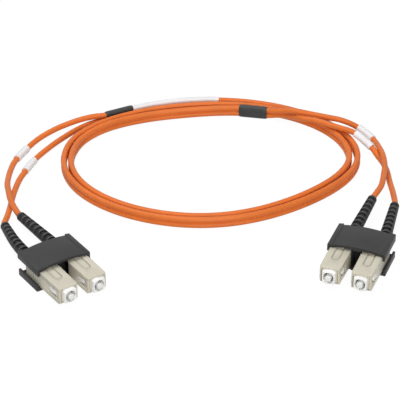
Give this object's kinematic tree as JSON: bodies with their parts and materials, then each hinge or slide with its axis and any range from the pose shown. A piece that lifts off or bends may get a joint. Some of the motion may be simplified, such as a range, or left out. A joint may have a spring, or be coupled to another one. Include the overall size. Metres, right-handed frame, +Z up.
{
  "type": "fiber optic patch cord",
  "caption": "Coiled fiber optic patch cord: clipped pairs of push-pull plugs with ceramic ferrules and ribbed boots at its ends, on an orange zip cord that splits into leads.",
  "frame": {"origin": "on the surface the cord lies on, under the middle of the box round the plugs, clips and boots (the coil and leads left out)", "axes": "+X to the right, from the left pair of plugs to the right one; +Y away from the plugs' front faces, towards the coil; +Z up"},
  "size_m": [0.1634, 0.1572, 0.011],
  "materials": {
    "housing": "satin",
    "plug_frame": "satin",
    "ferrule": "polished",
    "flange": "satin",
    "spring": "satin",
    "stop_ring": "satin",
    "crimp": "satin",
    "boot": "matte",
    "fiber": "matte",
    "jacket": "satin",
    "label": "matte",
    "clip": "satin",
    "split_sleeve": "matte"
  },
  "bodies": {
    "cord_and_plugs": {"left_outer_plug_frame": "plug_frame", "left_outer_stop_ring": "stop_ring", "left_outer_crimp_sleeve": "crimp", "left_outer_boot": "boot", "left_outer_spring": "spring", "left_outer_lead": "jacket", "left_outer_lead_label": "label", "left_inner_plug_frame": "plug_frame", "left_inner_stop_ring": "stop_ring", "left_inner_crimp_sleeve": "crimp", "left_inner_boot": "boot", "left_inner_spring": "spring", "left_inner_lead": "jacket", "left_inner_lead_label": "label", "right_outer_plug_frame": "plug_frame", "right_outer_stop_ring": "stop_ring", "right_outer_crimp_sleeve": "crimp", "right_outer_boot": "boot", "right_outer_spring": "spring", "right_outer_lead": "jacket", "right_outer_lead_label": "label", "right_inner_plug_frame": "plug_frame", "right_inner_stop_ring": "stop_ring", "right_inner_crimp_sleeve": "crimp", "right_inner_boot": "boot", "right_inner_spring": "spring", "right_inner_lead": "jacket", "right_inner_lead_label": "label", "coiled_cord": "jacket", "left_split_sleeve": "split_sleeve", "right_split_sleeve": "split_sleeve", "wrap_label": "label"},
    "left_grip": {"left_outer_housing": "housing", "left_inner_housing": "housing", "left_clip": "clip"},
    "right_grip": {"right_outer_housing": "housing", "right_inner_housing": "housing", "right_clip": "clip"},
    "left_outer_ferrule_group": {"left_outer_ferrule": "ferrule", "left_outer_flange": "flange", "left_outer_buffered_fiber": "fiber"},
    "left_inner_ferrule_group": {"left_inner_ferrule": "ferrule", "left_inner_flange": "flange", "left_inner_buffered_fiber": "fiber"},
    "right_outer_ferrule_group": {"right_outer_ferrule": "ferrule", "right_outer_flange": "flange", "right_outer_buffered_fiber": "fiber"},
    "right_inner_ferrule_group": {"right_inner_ferrule": "ferrule", "right_inner_flange": "flange", "right_inner_buffered_fiber": "fiber"}
  },
  "joints": [
    {"name": "left_grip_slide", "type": "slide", "parent": "cord_and_plugs", "child": "left_grip", "axis": [-0.5592, 0.829, 0], "range_m": [0, 0.0016]},
    {"name": "right_grip_slide", "type": "slide", "parent": "cord_and_plugs", "child": "right_grip", "axis": [0.3502, 0.9367, 0], "range_m": [0, 0.0016]},
    {"name": "left_outer_ferrule_slide", "type": "slide", "parent": "cord_and_plugs", "child": "left_outer_ferrule_group", "axis": [-0.5592, 0.829, 0], "range_m": [0, 0.001], "stiffness_N_per_m": 300, "deforming": ["left_outer_spring"]},
    {"name": "left_inner_ferrule_slide", "type": "slide", "parent": "cord_and_plugs", "child": "left_inner_ferrule_group", "axis": [-0.5592, 0.829, 0], "range_m": [0, 0.001], "stiffness_N_per_m": 300, "deforming": ["left_inner_spring"]},
    {"name": "right_outer_ferrule_slide", "type": "slide", "parent": "cord_and_plugs", "child": "right_outer_ferrule_group", "axis": [0.3502, 0.9367, 0], "range_m": [0, 0.001], "stiffness_N_per_m": 300, "deforming": ["right_outer_spring"]},
    {"name": "right_inner_ferrule_slide", "type": "slide", "parent": "cord_and_plugs", "child": "right_inner_ferrule_group", "axis": [0.3502, 0.9367, 0], "range_m": [0, 0.001], "stiffness_N_per_m": 300, "deforming": ["right_inner_spring"]}
  ]
}
